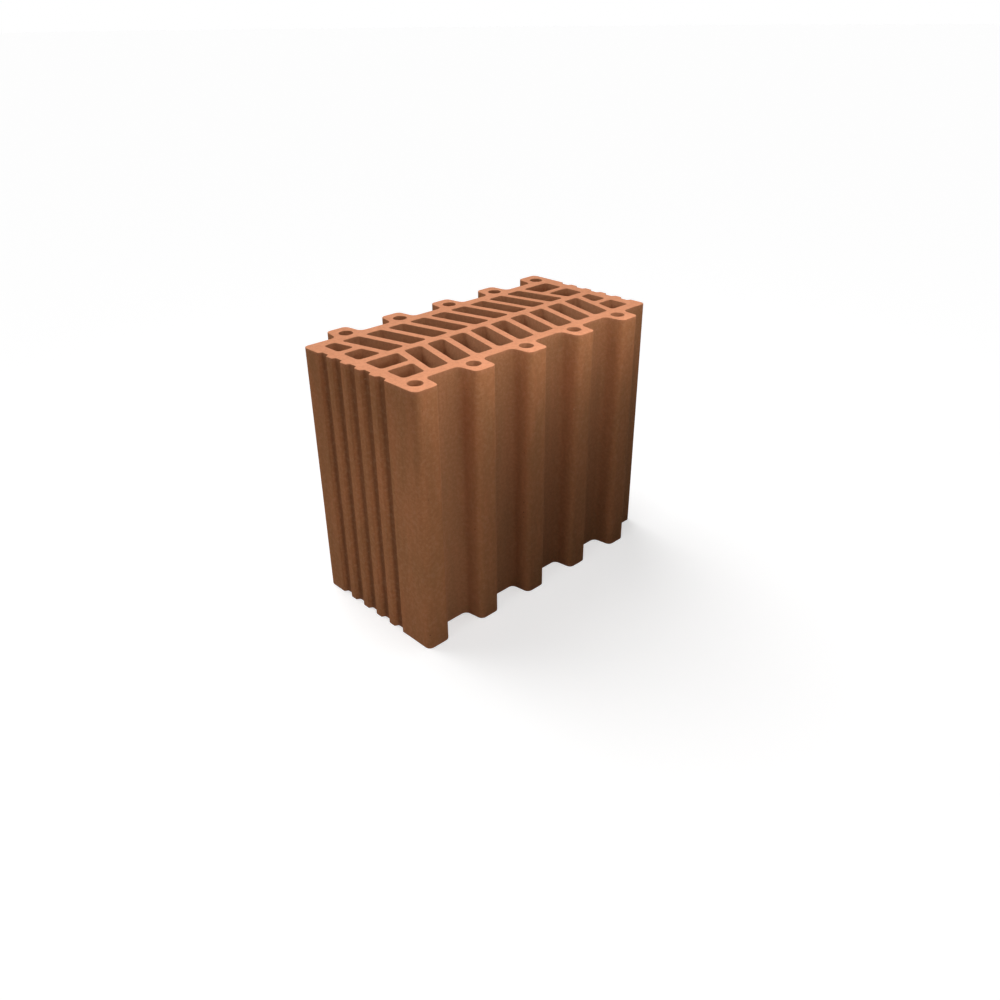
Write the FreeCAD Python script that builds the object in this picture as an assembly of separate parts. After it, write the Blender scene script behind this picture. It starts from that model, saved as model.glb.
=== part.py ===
import FreeCAD, Part
import math
import os

# Hollow clay block, extruded upright and fired as one piece.
# X runs along the block, Y across it and Z up. The origin is the centre of the
# bottom face, and all lengths are in millimetres.

# Overall body
LENGTH = 240.0
HEIGHT = 190.0
BODY_WIDTH = 102.2
BODY_CORNER_RADIUS = 4.0

# Walls between the cells
SIDE_WALL = 8.8
END_WALL = 11.1
SPINE = 7.1
WEB = 5.6
CELL_RADIUS = 2.2

# Slanted webs of the two rows of cells. The long bay and the short bay are measured
# at mid row, from an end of the block to the centre line of the nearest web, and the
# pitch is evened out between them. Each web leans along the block from its wall to
# the spine.
LONG_BAY = 35.4
SHORT_BAY = 27.3
WEB_PITCH = 19.7
WEB_LEAN = 9.5

# Ribs on the long sides, which stand full height
RIB_PITCH = 48.0
RIB_DEPTH = 15.3
RIB_ROOT_WIDTH = 21.2
RIB_TIP_WIDTH = 17.2
RIB_TIP_RADIUS = 4.2
RIB_ROOT_FILLET = 4.2

# Round hole through each rib, measured from the body's side face
RIB_HOLE_RADIUS = 5.0
RIB_HOLE_OFFSET = 3.0

# Keying grooves down both ends, the first measured from the right side face
GROOVE_START = 18.8
GROOVE_PITCH = 15.3
GROOVE_MOUTH = 9.4
GROOVE_FLOOR = 6.2
GROOVE_DEPTH = 2.8
GROOVE_LIP_RADIUS = 0.9
GROOVE_FLOOR_RADIUS = 1.2

NEAR_END = -LENGTH / 2
FAR_END = LENGTH / 2
RIGHT_SIDE = -BODY_WIDTH / 2
CELL_START = NEAR_END + END_WALL
CELL_STOP = FAR_END - END_WALL
ROW_DEPTH = (BODY_WIDTH - 2 * SIDE_WALL - SPINE) / 2


def rounded_wire(corners):
    """Closed wire through (x, y, radius) corners, each rounded by a tangent arc."""
    stretches = []
    for i, (x, y, radius) in enumerate(corners):
        here = FreeCAD.Vector(x, y, 0)
        back = FreeCAD.Vector(*corners[i - 1][:2], 0) - here
        ahead = FreeCAD.Vector(*corners[(i + 1) % len(corners)][:2], 0) - here
        if radius == 0:
            stretches.append([here])
            continue
        half = back.getAngle(ahead) / 2
        back.normalize()
        ahead.normalize()
        reach = radius / math.tan(half)
        middle = (back + ahead).normalize() * (radius / math.sin(half) - radius)
        stretches.append([here + back * reach, here + middle, here + ahead * reach])
    edges = []
    for i, stretch in enumerate(stretches):
        if len(stretch) == 3:
            edges.append(Part.Arc(*stretch).toShape())
        leave = stretch[-1]
        arrive = stretches[(i + 1) % len(stretches)][0]
        if leave.distanceToPoint(arrive) > 1e-6:
            edges.append(Part.LineSegment(leave, arrive).toShape())
    return Part.Wire(edges)


def rib_centres():
    """Distances from an end to the rib centres, the first rib flush with that end."""
    last_flank = LENGTH - BODY_CORNER_RADIUS - RIB_ROOT_FILLET
    count = int((last_flank - RIB_ROOT_WIDTH) // RIB_PITCH) + 1
    return [RIB_ROOT_WIDTH / 2 + RIB_PITCH * i for i in range(count)]


def side_corners():
    """Corners of the right side from the near end to the far end, as (x, y, radius)."""
    tip = RIGHT_SIDE - RIB_DEPTH
    lean = (RIB_ROOT_WIDTH - RIB_TIP_WIDTH) / 2
    corners = []
    for i, distance in enumerate(rib_centres()):
        low = NEAR_END + distance - RIB_ROOT_WIDTH / 2
        high = NEAR_END + distance + RIB_ROOT_WIDTH / 2
        if i == 0:
            corners.append((low, tip, RIB_TIP_RADIUS))
        else:
            corners.append((low, RIGHT_SIDE, RIB_ROOT_FILLET))
            corners.append((low + lean, tip, RIB_TIP_RADIUS))
        corners.append((high - lean, tip, RIB_TIP_RADIUS))
        corners.append((high, RIGHT_SIDE, RIB_ROOT_FILLET))
    corners.append((FAR_END, RIGHT_SIDE, BODY_CORNER_RADIUS))
    return corners


def groove_corners(face, inward):
    """Corners of the grooves in one end, from the right to the left side."""
    count = int((BODY_WIDTH - 2 * GROOVE_START) // GROOVE_PITCH) + 1
    corners = []
    for i in range(count):
        centre = RIGHT_SIDE + GROOVE_START + GROOVE_PITCH * i
        floor = face + inward * GROOVE_DEPTH
        corners.append((face, centre - GROOVE_MOUTH / 2, GROOVE_LIP_RADIUS))
        corners.append((floor, centre - GROOVE_FLOOR / 2, GROOVE_FLOOR_RADIUS))
        corners.append((floor, centre + GROOVE_FLOOR / 2, GROOVE_FLOOR_RADIUS))
        corners.append((face, centre + GROOVE_MOUTH / 2, GROOVE_LIP_RADIUS))
    return corners


def outline():
    """Outer edge of the section. The left side is the right side turned half round."""
    right = side_corners()
    left = [(-x, -y, radius) for x, y, radius in right]
    far = groove_corners(FAR_END, -1)
    near = groove_corners(NEAR_END, 1)
    near.reverse()
    return rounded_wire(right + far + left + near)


def web_centres(row):
    """Mid-row places of the slanted webs, for row -1 on the right or 1 on the left."""
    first, last = (LONG_BAY, SHORT_BAY) if row < 0 else (SHORT_BAY, LONG_BAY)
    spaces = round((LENGTH - first - last) / WEB_PITCH)
    pitch = (LENGTH - first - last) / spaces
    return [NEAR_END + first + pitch * i for i in range(spaces + 1)]


def cell(y_low, y_high, x_near, x_far):
    """Cell between two lines across the block, each given as a function of y."""
    return rounded_wire([
        (x_near(y_low), y_low, CELL_RADIUS),
        (x_far(y_low), y_low, CELL_RADIUS),
        (x_far(y_high), y_high, CELL_RADIUS),
        (x_near(y_high), y_high, CELL_RADIUS),
    ])


def row_cells(row):
    """Cells of one row: long slanted ones, and a pair in the bay at each end."""
    middle = row * (SPINE + ROW_DEPTH) / 2
    low = middle - ROW_DEPTH / 2
    high = middle + ROW_DEPTH / 2
    slope = -row * WEB_LEAN / ROW_DEPTH
    half_web = WEB / 2 * math.hypot(1, slope)

    def web_face(centre, side):
        return lambda y: centre + slope * (y - middle) + side * half_web

    webs = web_centres(row)
    cells = []
    for near_web, far_web in zip(webs, webs[1:]):
        cells.append(cell(low, high, web_face(near_web, 1), web_face(far_web, -1)))
    bays = [
        (lambda y: CELL_START, web_face(webs[0], -1)),
        (web_face(webs[-1], 1), lambda y: CELL_STOP),
    ]
    for x_near, x_far in bays:
        cells.append(cell(low, middle - WEB / 2, x_near, x_far))
        cells.append(cell(middle + WEB / 2, high, x_near, x_far))
    return cells


def rib_holes():
    """Round holes of the ribs on both sides."""
    holes = []
    for distance in rib_centres():
        x = NEAR_END + distance
        y = RIGHT_SIDE - RIB_HOLE_OFFSET
        for turned in (1, -1):
            centre = FreeCAD.Vector(turned * x, turned * y, 0)
            circle = Part.Circle(centre, FreeCAD.Vector(0, 0, 1), RIB_HOLE_RADIUS)
            holes.append(Part.Wire(circle.toShape()))
    return holes


wires = [outline()] + row_cells(-1) + row_cells(1) + rib_holes()
section = Part.makeFace(wires, "Part::FaceMakerBullseye")
clay_block = section.extrude(FreeCAD.Vector(0, 0, HEIGHT))

os.makedirs("parts", exist_ok=True)
clay_block.exportStep("parts/clay_block.step")
box = clay_block.BoundBox
print("solids", len(clay_block.Solids), "valid", clay_block.isValid())
print("size", round(box.XLength, 2), round(box.YLength, 2), round(box.ZLength, 2))
print("volume", round(clay_block.Volume / 1000, 1), "cm3")
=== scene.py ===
import math

import bmesh
import bpy
import numpy as np
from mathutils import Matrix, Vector, geometry, kdtree, noise


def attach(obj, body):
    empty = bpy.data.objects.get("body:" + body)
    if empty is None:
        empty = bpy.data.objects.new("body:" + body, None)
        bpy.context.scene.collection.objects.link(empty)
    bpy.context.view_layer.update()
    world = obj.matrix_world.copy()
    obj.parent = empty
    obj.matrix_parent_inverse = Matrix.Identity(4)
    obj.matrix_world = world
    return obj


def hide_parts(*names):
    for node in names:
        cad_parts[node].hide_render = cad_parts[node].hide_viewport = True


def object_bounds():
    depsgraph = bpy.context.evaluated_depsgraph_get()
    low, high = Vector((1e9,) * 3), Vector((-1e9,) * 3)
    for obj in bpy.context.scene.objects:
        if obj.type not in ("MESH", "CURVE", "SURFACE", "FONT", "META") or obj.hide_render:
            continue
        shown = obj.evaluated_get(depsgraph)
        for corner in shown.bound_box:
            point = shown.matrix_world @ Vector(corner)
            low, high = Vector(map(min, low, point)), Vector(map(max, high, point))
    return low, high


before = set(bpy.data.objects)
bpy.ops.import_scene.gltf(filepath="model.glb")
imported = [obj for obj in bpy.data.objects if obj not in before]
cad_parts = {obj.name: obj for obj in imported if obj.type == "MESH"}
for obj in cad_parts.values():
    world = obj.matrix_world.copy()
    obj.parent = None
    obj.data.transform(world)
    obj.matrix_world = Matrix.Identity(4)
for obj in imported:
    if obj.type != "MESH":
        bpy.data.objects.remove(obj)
cad_low, cad_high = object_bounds()

# The fired block is rebuilt from the outline of its own CAD node: softened arrises, walls
# with the slight waves of extrusion, and cut faces with the drag of the cutting wire.
# Lengths are in metres.
NODE = "clay_block"

# Outline: how near points are one, and the least normal Z of a cut face
WELD = 1e-6
LEVEL = 0.9

# Outline: turn between points on an arc, the length that counts as straight, and its spacing
MAX_TURN = math.radians(13)
RUN = 0.0012
SPACING = 0.0022

# Walls: rings of points up them, and depth of the waves
OUTER_RINGS = 58
CELL_RINGS = 13
WAVE = 0.00016

# Arrises: radius, its unevenness and steps round it
ARRIS = 0.0003
ARRIS_UNEVEN = 0.45
ARRIS_STEPS = 4

# Arrises on tight lips: share of the lip's radius, least turn, growth beside it and its reach
TIGHT = 0.55
LEAST_TURN = 0.02
GROWTH = 0.3
GROWTH_POINTS = 12

# Cut faces: spacing of points, rows per spacing, gap to a rim, relief and where it eases in
CAP_SPACING = 0.0021
CAP_ROWS = 0.866
CAP_CLEAR = 0.0011
CUT_RELIEF = 0.00016
CUT_EASE = 0.002

# Where the colour changes: a paler band at arrises, partly wear and partly painted highlight; painted
# shade on the floors of the keying grooves; and painted light between the ribs and in the cells
WEAR_AND_HIGHLIGHT_REACH = 0.0012
GROOVE = 0.0028
GROOVES_REACH = 0.04
RIB = 0.0153
RIB_ROOT = 0.045
# Painted light: how much of a paler, less red colour goes between the ribs and onto the cell walls
RECESS_PAINTED_LIGHT = 0.35
CELL_PAINTED_LIGHT = 0.6

# Colours of the clay, as sRGB from 0 to 255
DRAWN_DULL = (177, 120, 78)
DRAWN_WARM = (192, 125, 82)
DRAWN_LINE = (164, 106, 68)
# painted light for the recesses between the ribs and for the cell walls
PAINTED_LIGHT_TONE = (186, 137, 99)
# painted shade for the floors of the keying grooves
GROOVE_FLOOR_PAINTED_SHADE = (128, 82, 52)
CUT_DULL = (213, 143, 105)
CUT_PALE = (219, 148, 110)
# paler band beside the arrises: partly wear, partly painted highlight
WORN_AND_HIGHLIGHT = (200, 134, 100)
PEBBLE_DARK = (112, 70, 46)
PEBBLE_PALE = (236, 184, 146)
GRAIN_DARK = (120, 74, 48)
SPECK_DARK = (88, 54, 38)
SPECK_PALE = (226, 186, 156)

# Texture of the clay, in lumps to the metre
PATCHES = 32.0
BANDS = 110.0
BROAD_LINES = 420.0
FINE_LINES = 900.0
PEBBLES = 430.0
GRAIN = 1400.0
DARK_SPECKS = 230.0
PALE_SPECKS = 300.0
SPECK_BENDS = 1100.0

# The photograph's camera: lens and sensor in millimetres, place in metres, turn in degrees
LENS = 31.66
SENSOR = 36.0
CAMERA_PLACE = (-0.4187, -0.4461, 0.3847)
CAMERA_TURN = (60.985, 0.434, -44.312)

# Floor and world: brightness to the camera, and to the light that they give back
WHITE = (1, 1, 1, 1)
PAPER = (0.6, 0.6, 0.6, 1)
PAPER_GLOW = 0.57
FLOOR_DIM = (0.22, 0.22, 0.22, 1)
WORLD_DIM = 0.02
FLOOR_RADIUS = 30


def rim_loops(node):
    """Closed outlines of a node's top face as lists of (x, y), with the clay on the left."""
    mesh = bmesh.new()
    mesh.from_mesh(node.data)
    bmesh.ops.remove_doubles(mesh, verts=mesh.verts, dist=WELD)
    following = {}
    for face in mesh.faces:
        if face.normal.z < LEVEL:
            continue
        for corner in face.loops:
            others = [f for f in corner.edge.link_faces if f != face]
            if others[0].normal.z < LEVEL:
                following[corner.vert] = corner.link_loop_next.vert
    loops = []
    while following:
        start, here = following.popitem()
        loop = [start.co.xy[:]]
        while here != start:
            loop.append(here.co.xy[:])
            here = following.pop(here)
        loops.append(loop)
    mesh.free()
    return sorted(loops, key=lambda loop: min(loop))


def steps_and_turns(points):
    """From each point of an outline, the step to the next and its length, and the turn there."""
    step = np.roll(points, -1, 0) - points
    heading = np.arctan2(step[:, 1], step[:, 0])
    turn = (heading - np.roll(heading, 1) + math.pi) % (2 * math.pi) - math.pi
    return step, np.hypot(*step.T), turn


def resample(loop):
    """The outline with its arcs thinned to even turns and its straight runs divided."""
    points = np.array(loop)
    step, length, turn = steps_and_turns(points)
    first = int(np.argmax(length))
    kept = []
    turned = 0.0
    for count in range(len(points)):
        i = (first + count) % len(points)
        turned += abs(turn[i])
        by_run = max(length[i], length[i - 1]) > RUN
        if kept and not by_run and turned < MAX_TURN:
            continue
        turned = 0.0
        parts = max(1, round(length[i] / SPACING))
        kept.extend(points[i] + step[i] * k / parts for k in range(parts))
    return np.array(kept)


def inward(points):
    """Unit directions into the clay, square to the outline."""
    along = np.roll(points, -1, 0) - np.roll(points, 1, 0)
    along /= np.hypot(*along.T)[:, None]
    return np.stack([-along[:, 1], along[:, 0]], 1)


def clamp(value, high=1.0):
    """The value, kept between 0 and high."""
    return min(max(value, 0.0), high)


def rough(x, y, z, size, stretch=1.0, octaves=3):
    """Noise of about -1 to 1 with lumps of that size, drawn out along Z by stretch."""
    place = Vector((x / size, y / size, z / size / stretch))
    return noise.fractal(place, 1.0, 2.0, octaves, noise_basis="PERLIN_ORIGINAL")


def wall_depth(x, y, z):
    """How far a drawn face lies inside the CAD face: slow waves, drag lines and dents."""
    slow = rough(x, y, z, size=0.045, stretch=4.0, octaves=2)
    lines = rough(x + 3.1, y, z, size=0.006, stretch=30.0)
    dents = rough(x, y + 5.3, z, size=0.016, stretch=1.6)
    return WAVE * clamp(0.5 + 0.45 * slow + 0.35 * lines + 0.2 * dents, 1.3)


def cut_depth(x, y, side):
    """How far a cut face lies inside the CAD face: wire drag along X, and torn grains."""
    drag = rough(x / 14, y, side * 0.3, size=0.0035)
    grain = rough(x, y, side * 0.5, size=0.004)
    return CUT_RELIEF * clamp(0.5 + 0.45 * drag + 0.55 * grain, 1.5)


def arris_radii(points, side):
    """Radius of the softened arris at each point: a little uneven, and less on tight lips."""
    _, step, turn = steps_and_turns(points)
    run = (step + np.roll(step, 1)) / 2
    most = np.where(turn > LEAST_TURN, TIGHT * run / np.maximum(turn, LEAST_TURN), 1.0)
    for _ in range(GROWTH_POINTS):
        most = np.minimum(most, np.roll(most, 1) + GROWTH * np.roll(step, 1))
        most = np.minimum(most, np.roll(most, -1) + GROWTH * step)
    uneven = np.array([rough(x, y, side * 0.7, size=0.011) for x, y in points])
    return np.minimum(ARRIS * (1 + ARRIS_UNEVEN * uneven), most)


def arris_levels(radius):
    """Steps over an arris as (height above its foot, depth into the wall, share of cut face)."""
    levels = []
    for step in range(1, ARRIS_STEPS + 1):
        share = step / ARRIS_STEPS
        angle = math.pi / 2 * share
        levels.append((radius * math.sin(angle), radius * (1 - math.cos(angle)), share))
    return levels


def inside(places, loops):
    """Whether each place is in the clay, by counting outline crossings."""
    crossed = np.zeros(len(places), int)
    for loop in loops:
        for (x0, y0), (x1, y1) in zip(loop, np.roll(loop, -1, 0)):
            if y0 == y1:
                continue
            spans = (places[:, 1] >= min(y0, y1)) & (places[:, 1] < max(y0, y1))
            at = x0 + (places[:, 1] - y0) * (x1 - x0) / (y1 - y0)
            crossed += spans & (places[:, 0] < at)
    return crossed % 2 == 1


def cap_places(loops):
    """Evenly spread places in the clay of a cut face, clear of its rims, and their gaps to them."""
    places = []
    for n, y in enumerate(np.arange(cad_low.y, cad_high.y, CAP_SPACING * CAP_ROWS)):
        start = cad_low.x + CAP_SPACING / 2 * (n % 2)
        places.extend((x, y) for x in np.arange(start, cad_high.x, CAP_SPACING))
    places = np.array(places)
    rim = np.concatenate(loops)
    tree = kdtree.KDTree(len(rim))
    for i, (x, y) in enumerate(rim):
        tree.insert((x, y, 0), i)
    tree.balance()
    places = places[inside(places, loops)]
    gaps = np.array([tree.find((x, y, 0))[2] for x, y in places])
    keep = gaps > CAP_CLEAR
    return places[keep], gaps[keep]


def groove_share(x, y):
    """How deep a place on the outline is in a keying groove, from 0 to 1 on its floor."""
    if abs(y) > GROOVES_REACH:
        return 0.0
    return clamp((cad_high.x - abs(x)) / GROOVE)


def recess_share(x, y):
    """How deep a place on a long side is between the ribs, from 0 on a tip to 1 on the body."""
    if abs(y) < RIB_ROOT:
        return 0.0
    return clamp((cad_high.x - abs(x)) / RIB) * clamp((cad_high.y - abs(y)) / RIB)


class Shape:
    """Points and faces of a mesh, with the point attributes that the material reads."""

    def __init__(self):
        self.points = []
        self.faces = []
        self.attributes = {"cut": [], "wear_and_highlight": [], "groove": [], "painted_light": []}

    def add(self, point, cut, wear_and_highlight, groove=0.0, painted_light=0.0):
        self.points.append(point)
        for name, value in zip(self.attributes, (cut, wear_and_highlight, groove, painted_light)):
            self.attributes[name].append(value)
        return len(self.points) - 1


def add_wall(shape, points, rings, outer):
    """Adds one closed wall and returns the indices of its bottom and top rims."""
    columns = []
    arrises = zip(points, inward(points), arris_radii(points, 0), arris_radii(points, 1))
    for (x, y), (nx, ny), low_radius, high_radius in arrises:
        start = low_radius
        stop = cad_high.z - high_radius
        levels = [(start - rise, into, cut) for rise, into, cut in arris_levels(low_radius)]
        levels.reverse()
        for ring in range(rings + 1):
            levels.append((start + (stop - start) * ring / rings, 0.0, 0.0))
        levels.extend((stop + rise, into, cut) for rise, into, cut in arris_levels(high_radius))
        column = []
        for z, into, cut in levels:
            depth = wall_depth(x, y, z) + into
            # Paler band near the top and bottom arrises: partly wear, partly painted highlight
            wear_and_highlight = math.exp(-min(z, cad_high.z - z) / WEAR_AND_HIGHLIGHT_REACH)
            # Painted shade: the groove floors of the end faces get a darker colour
            groove = groove_share(x, y) * (1 - cut) if outer else 0.0
            # Painted light: a paler colour between the ribs, and over all the cell walls
            painted_light = RECESS_PAINTED_LIGHT * recess_share(x, y) if outer else CELL_PAINTED_LIGHT
            place = (x + nx * depth, y + ny * depth, z)
            column.append(shape.add(place, cut, wear_and_highlight, groove, painted_light))
        columns.append(column)
    for left, right in zip(columns, columns[1:] + columns[:1]):
        for k in range(len(left) - 1):
            shape.faces.append((left[k], right[k], right[k + 1], left[k + 1]))
    return [c[0] for c in columns], [c[-1] for c in columns]


def add_cap(shape, rims, side):
    """Adds the cut face between the rims, on the bottom for side 0 or the top for 1."""
    rim = [i for ring in rims for i in ring]
    loops = [np.array([shape.points[i][:2] for i in ring]) for ring in rims]
    edges = []
    first = 0
    for ring in rims:
        edges.extend((first + k, first + (k + 1) % len(ring)) for k in range(len(ring)))
        first += len(ring)
    places, gaps = cap_places(loops)
    flat = [Vector(p) for p in np.concatenate([*loops, places])]
    verts, _, faces, origins, _, _ = geometry.delaunay_2d_cdt(flat, edges, [], 0, 1e-9)
    index = {}
    for i, sources in enumerate(origins):
        source = sources[0]
        if source < len(rim):
            index[i] = rim[source]
            continue
        x, y = flat[source]
        gap = gaps[source - len(rim)]
        depth = cut_depth(x, y, side) * min(1.0, gap / CUT_EASE)
        z = cad_high.z - depth if side else depth
        index[i] = shape.add((x, y, z), 1.0, math.exp(-gap / WEAR_AND_HIGHLIGHT_REACH))
    middles = np.array([sum((verts[i] for i in face), Vector((0, 0))) / 3 for face in faces])
    for face, keep in zip(faces, inside(middles, loops)):
        if keep:
            corners = [index[i] for i in face]
            shape.faces.append(tuple(corners if side else corners[::-1]))


def build_block():
    """The whole block as one closed mesh."""
    loops = [resample(loop) for loop in rim_loops(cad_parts[NODE])]
    longest = max(range(len(loops)), key=lambda i: np.ptp(loops[i][:, 0]))
    shape = Shape()
    bottom = []
    top = []
    for i, loop in enumerate(loops):
        outer = i == longest
        low, high = add_wall(shape, loop, OUTER_RINGS if outer else CELL_RINGS, outer)
        bottom.append(low)
        top.append(high)
    add_cap(shape, bottom, 0)
    add_cap(shape, top, 1)
    mesh = bpy.data.meshes.new("hollow_clay_block")
    mesh.from_pydata(shape.points, [], shape.faces)
    mesh.polygons.foreach_set("use_smooth", [True] * len(mesh.polygons))
    for name, values in shape.attributes.items():
        mesh.attributes.new(name, "FLOAT", "POINT").data.foreach_set("value", values)
    mesh.validate()
    block = bpy.data.objects.new("hollow_clay_block", mesh)
    bpy.context.scene.collection.objects.link(block)
    return block


def empty_tree(owner):
    """The node tree of a material or world, with nothing in it."""
    owner.use_nodes = True
    owner.node_tree.nodes.clear()
    return owner.node_tree


def add_node(tree, kind, settings=None, **inputs):
    """A shader node, with its settings, and its inputs given as values or as links."""
    node = tree.nodes.new("ShaderNode" + kind)
    for name, value in (settings or {}).items():
        setattr(node, name, value)
    for name, value in inputs.items():
        socket = node.inputs[int(name[1:]) if name[1:].isdigit() else name.replace("_", " ")]
        if isinstance(value, bpy.types.NodeSocket):
            tree.links.new(value, socket)
        else:
            socket.default_value = value
    return node


def calculate(tree, operation, a, b):
    """The result of a Math node on two values or links."""
    return add_node(tree, "Math", {"operation": operation}, i0=a, i1=b).outputs[0]


def colour(srgb):
    """A colour given as sRGB from 0 to 255, as Blender's linear RGBA."""
    linear = [((c / 255 + 0.055) / 1.055) ** 2.4 for c in srgb]
    return (*linear, 1.0)


def fired_clay():
    """Terracotta: browner drawn faces, paler cut faces, mottling, grain and specks."""
    material = bpy.data.materials.new("fired_clay_detail")
    tree = empty_tree(material)
    place = add_node(tree, "TexCoord").outputs["Object"]

    def attribute(name):
        return add_node(tree, "Attribute", {"attribute_name": name}).outputs["Fac"]

    def drawn_out(share):
        """Coordinates in which lumps are drawn out along Z."""
        return add_node(tree, "Mapping", Vector=place, Scale=(1, 1, share)).outputs[0]

    def spots(vector, scale, detail=3.0, roughness=0.55):
        return add_node(tree, "TexNoise", Vector=vector, Scale=scale, Detail=detail,
                        Roughness=roughness).outputs["Fac"]

    def spread(value, low, high, start=0.0, stop=1.0):
        return add_node(tree, "MapRange", Value=value, From_Min=low, From_Max=high,
                        To_Min=start, To_Max=stop).outputs["Result"]

    def mix(factor, a, b):
        """Colour a turned into colour b by the factor, each a colour tuple or a link."""
        a, b = (colour(c) if isinstance(c, tuple) else c for c in (a, b))
        return add_node(tree, "Mix", {"data_type": "RGBA"}, i0=factor, i6=a, i7=b).outputs[2]

    def times(a, b):
        return calculate(tree, "MULTIPLY", a, b)

    def plus(a, b):
        return calculate(tree, "ADD", a, b)

    def minus(a, b):
        return calculate(tree, "SUBTRACT", a, b)

    def specks(offset, scale, rarity):
        """Round but uneven grains of differing size, 1 inside them."""
        moved = add_node(tree, "Mapping", Vector=place, Location=(offset, -offset, offset)).outputs[0]
        noisy = add_node(tree, "TexNoise", Vector=moved, Scale=SPECK_BENDS, Detail=1.0)
        bent = add_node(tree, "VectorMath", {"operation": "MULTIPLY_ADD"}, i0=noisy.outputs["Color"],
                        i1=(0.0011, 0.0011, 0.0011), i2=moved).outputs[0]
        cells = add_node(tree, "TexVoronoi", Vector=bent, Scale=scale)
        radius = spread(cells.outputs["Color"], rarity, 1.0, 0.0, 0.17)
        return spread(minus(radius, cells.outputs["Distance"]), 0.0, 0.03)

    # Drawn faces: streaks, fine lines along Z, painted light between the ribs and in the cells, and
    # painted shade on the groove floors
    bands = spread(spots(drawn_out(0.2), BANDS), 0.32, 0.68)
    lines = spread(spots(drawn_out(0.03), BROAD_LINES, 2.0), 0.35, 0.7, 0.0, 0.2)
    drawn = mix(bands, DRAWN_DULL, DRAWN_WARM)
    drawn = mix(lines, drawn, DRAWN_LINE)
    # painted light: a paler colour between the ribs and in the cells
    drawn = mix(attribute("painted_light"), drawn, PAINTED_LIGHT_TONE)
    # painted shade darkens the groove floors
    drawn = mix(spread(attribute("groove"), 0.5, 1.0, 0.0, 0.6), drawn, GROOVE_FLOOR_PAINTED_SHADE)

    # Cut faces, and the paler band beside their arrises, partly wear and partly painted highlight
    cut = attribute("cut")
    sawn = mix(spread(spots(place, PATCHES), 0.35, 0.65), CUT_DULL, CUT_PALE)
    shade = mix(cut, drawn, sawn)
    shade = mix(times(attribute("wear_and_highlight"), spread(cut, 0.0, 0.6, 0.45, 0.0)), shade, WORN_AND_HIGHLIGHT)

    # Pebbles, grain and specks all over
    pebbles = spots(place, PEBBLES, 2.5)
    shade = mix(spread(pebbles, 0.34, 0.52, 0.11, 0.0), shade, PEBBLE_DARK)
    shade = mix(spread(pebbles, 0.5, 0.68, 0.0, 0.09), shade, PEBBLE_PALE)
    grain = spots(place, GRAIN, 3.0, 0.65)
    shade = mix(spread(grain, 0.36, 0.6, 0.12, 0.0), shade, GRAIN_DARK)
    shade = mix(times(specks(0.0, DARK_SPECKS, 0.72), 0.5), shade, SPECK_DARK)
    shade = mix(times(specks(0.7, PALE_SPECKS, 0.76), 0.4), shade, SPECK_PALE)

    # Relief too fine for the mesh: grain, pebbles, and lines on the drawn faces alone
    fine_lines = times(spots(drawn_out(0.03), FINE_LINES), minus(1.0, cut))
    height = plus(times(grain, 0.35), times(fine_lines, 0.4))
    height = plus(height, times(pebbles, 1.2))
    bump = add_node(tree, "Bump", Strength=0.32, Distance=0.0005, Height=height).outputs[0]
    matt = spread(grain, 0.3, 0.7, 0.84, 0.97)
    shader = add_node(tree, "BsdfPrincipled", Base_Color=shade, Roughness=matt, Normal=bump)
    shader.inputs["Specular IOR Level"].default_value = 0.15
    out = add_node(tree, "OutputMaterial", Surface=shader.outputs[0])
    out.is_active_output = True
    return material


def add_camera():
    """Camera at the photograph's place, angle and field of view."""
    lens = bpy.data.cameras.new("camera")
    lens.lens = LENS
    lens.sensor_width = SENSOR
    camera = bpy.data.objects.new("camera", lens)
    camera.location = CAMERA_PLACE
    camera.rotation_euler = [math.radians(angle) for angle in CAMERA_TURN]
    bpy.context.scene.collection.objects.link(camera)
    bpy.context.scene.camera = camera


def add_lamp(name, kind, strength, towards):
    """A lamp that shines from the direction given, and the object that carries it."""
    lamp = bpy.data.lights.new(name, kind)
    lamp.energy = strength
    holder = bpy.data.objects.new(name, lamp)
    holder.rotation_mode = "QUATERNION"
    holder.rotation_quaternion = towards.to_track_quat("Z", "Y")
    bpy.context.scene.collection.objects.link(holder)
    return lamp, holder


def add_sun(name, strength, softness, azimuth, elevation):
    """Even soft light from a direction: azimuth from +X towards +Y, in degrees."""
    a = math.radians(azimuth)
    e = math.radians(elevation)
    towards = Vector((math.cos(a) * math.cos(e), math.sin(a) * math.cos(e), math.sin(e)))
    lamp, _ = add_lamp(name, "SUN", strength, towards)
    lamp.angle = math.radians(softness)


def add_softbox(name, strength, width, height, place, aim, spread=180):
    """A rectangular studio lamp, in metres, out of the camera's sight, spreading in degrees."""
    lamp, holder = add_lamp(name, "AREA", strength, Vector(place) - Vector(aim))
    lamp.shape = "RECTANGLE"
    lamp.size = width
    lamp.size_y = height
    lamp.spread = math.radians(spread)
    holder.location = place
    holder.visible_camera = False


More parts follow.
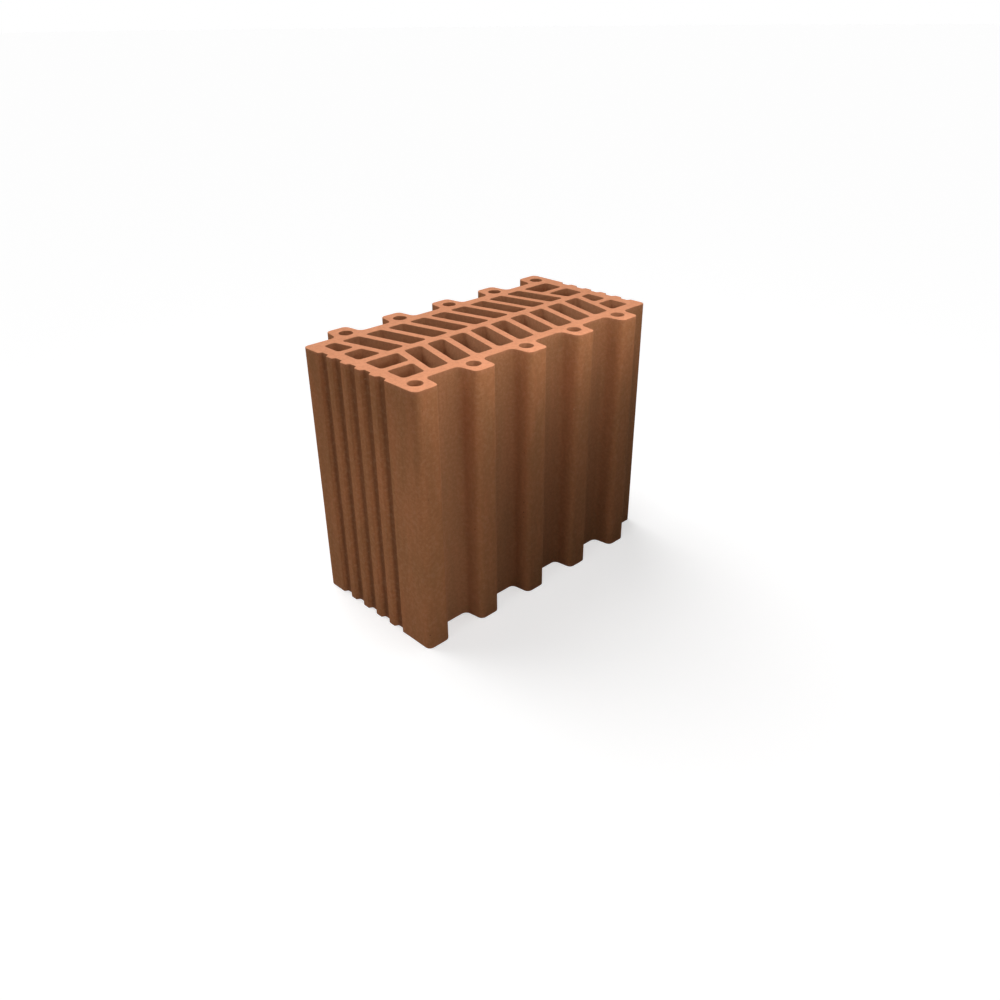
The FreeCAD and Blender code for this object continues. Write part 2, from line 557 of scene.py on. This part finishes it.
def seen_directly(tree):
    """1 for rays from the camera and for reflections and refractions, and 0 otherwise."""
    path = add_node(tree, "LightPath").outputs
    seen = calculate(tree, "MAXIMUM", path["Is Camera Ray"], path["Is Glossy Ray"])
    return calculate(tree, "MAXIMUM", seen, path["Is Transmission Ray"])


def add_stage():
    """A floor and a world that are white to the camera and dim to the light they give back."""
    bpy.ops.mesh.primitive_circle_add(vertices=96, radius=FLOOR_RADIUS, fill_type="NGON")
    floor = bpy.context.object
    floor.name = "floor"
    material = bpy.data.materials.new("floor")
    tree = empty_tree(material)
    paper = add_node(tree, "BsdfDiffuse", Color=PAPER).outputs[0]
    glow = add_node(tree, "Emission", Color=WHITE, Strength=PAPER_GLOW).outputs[0]
    white = add_node(tree, "AddShader", i0=paper, i1=glow).outputs[0]
    dim = add_node(tree, "BsdfDiffuse", Color=FLOOR_DIM).outputs[0]
    both = add_node(tree, "MixShader", i0=seen_directly(tree), i1=dim, i2=white)
    add_node(tree, "OutputMaterial", Surface=both.outputs[0])
    floor.data.materials.append(material)

    world = bpy.data.worlds.new("studio")
    bpy.context.scene.world = world
    tree = empty_tree(world)
    white = add_node(tree, "Background", Color=WHITE, Strength=1.0).outputs[0]
    dim = add_node(tree, "Background", Color=WHITE, Strength=WORLD_DIM).outputs[0]
    both = add_node(tree, "MixShader", i0=seen_directly(tree), i1=dim, i2=white)
    add_node(tree, "OutputWorld", Surface=both.outputs[0])


block = build_block()
block.data.materials.append(fired_clay())
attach(block, "root")
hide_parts(NODE)

add_stage()
add_camera()
add_sun("back", strength=2.75, softness=60, azimuth=90, elevation=50)
add_softbox("overhead", strength=0.68, width=0.3, height=0.3,
            place=(-0.03, -0.12, 0.62), aim=(0.02, 0.0, 0.19))
add_softbox("near_end", strength=0.035, width=0.12, height=0.26,
            place=(-0.428, -0.112, 0.324), aim=(-0.12, 0.0, 0.095), spread=50)
add_softbox("corner_rib", strength=0.0105, width=0.05, height=0.18,
            place=(-0.225, -0.34, 0.095), aim=(-0.113, -0.066, 0.068), spread=30)
add_softbox("right_side", strength=0.068, width=0.26, height=0.02,
            place=(0.0, -0.116, 0.214), aim=(0.0, -0.066, 0.165))
bpy.context.scene.view_settings.view_transform = "Standard"
